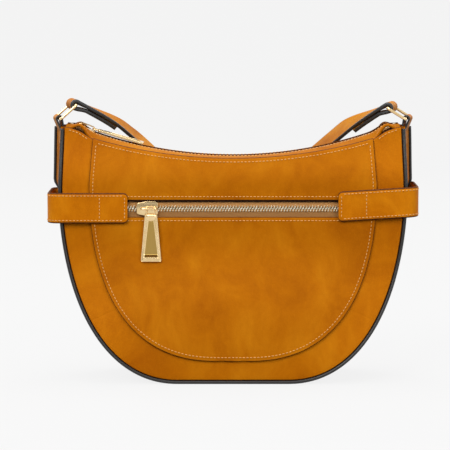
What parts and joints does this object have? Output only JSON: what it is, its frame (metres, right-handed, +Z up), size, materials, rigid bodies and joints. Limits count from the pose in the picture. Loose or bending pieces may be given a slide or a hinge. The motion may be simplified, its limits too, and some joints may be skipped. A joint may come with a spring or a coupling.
{
  "type": "crossbody bag",
  "caption": "Half-moon leather crossbody bag with piped edges, a top zip, a front zip pocket, side belts and a strap on rectangular rings.",
  "frame": {"origin": "centre of the flat base, on the ground", "axes": "+X to the right as seen from the front, +Y to the back, +Z up; the front zip pocket faces -Y"},
  "size_m": [0.2984, 0.1285, 0.2262],
  "materials": {
    "ochre_leather": "smooth leather, satin",
    "black_piping": "edge paint, satin",
    "zip_tape": "woven tape",
    "brass": "polished",
    "lining_cloth": "plain woven cloth",
    "stiffener": "stiff board"
  },
  "bodies": {
    "bag": {"front_panel": "ochre_leather", "front_band_left": "ochre_leather", "front_band_right": "ochre_leather", "front_band_bottom": "ochre_leather", "back_panel": "ochre_leather", "gusset": "ochre_leather", "belt_left": "ochre_leather", "belt_right": "ochre_leather", "top_band_front": "ochre_leather", "top_band_back": "ochre_leather", "ring_tab_left": "ochre_leather", "ring_tab_right": "ochre_leather", "strap": "ochre_leather", "front_piping": "black_piping", "back_piping": "black_piping", "front_zip_tape_upper": "zip_tape", "front_zip_tape_lower": "zip_tape", "top_zip_tape_front": "zip_tape", "top_zip_tape_back": "zip_tape", "main_lining": "lining_cloth", "front_pocket_lining": "lining_cloth", "base_board": "stiffener", "front_zip_stop_left": "brass", "front_zip_stop_right": "brass", "top_zip_stop_left": "brass", "top_zip_stop_right": "brass"},
    "front_slider": {"front_slider": "brass"},
    "front_pull": {"front_pull": "brass"},
    "top_slider": {"top_slider": "brass"},
    "top_pull": {"top_pull": "brass"},
    "left_ring": {"ring_left": "brass"},
    "right_ring": {"ring_right": "brass"}
  },
  "joints": [
    {"name": "front_zip", "type": "slide", "parent": "bag", "child": "front_slider", "axis": [1, 0, 0], "range_m": [0, 0.143]},
    {"name": "front_pull_swing", "type": "hinge", "parent": "front_slider", "child": "front_pull", "pos_m": [-0.0657, -0.0291, 0.14], "axis": [-1, 0, 0], "range_deg": [0, 100]},
    {"name": "top_zip", "type": "hinge", "parent": "bag", "child": "top_slider", "pos_m": [0, 0, 0.5205], "axis": [0, -1, 0], "range_deg": [0, 32]},
    {"name": "top_pull_lift", "type": "hinge", "parent": "top_slider", "child": "top_pull", "pos_m": [-0.11332, 0, 0.20253], "axis": [0, -1, 0], "range_deg": [0, 6]},
    {"name": "left_ring_swing", "type": "hinge", "parent": "bag", "child": "left_ring", "pos_m": [-0.1415, 0, 0.211], "axis": [0.2419, -0.9703, 0], "range_deg": [-10, 45], "deforming": ["strap"]},
    {"name": "right_ring_swing", "type": "hinge", "parent": "bag", "child": "right_ring", "pos_m": [0.1415, 0, 0.211], "axis": [0.2419, 0.9703, 0], "range_deg": [-10, 45], "deforming": ["strap"]}
  ]
}
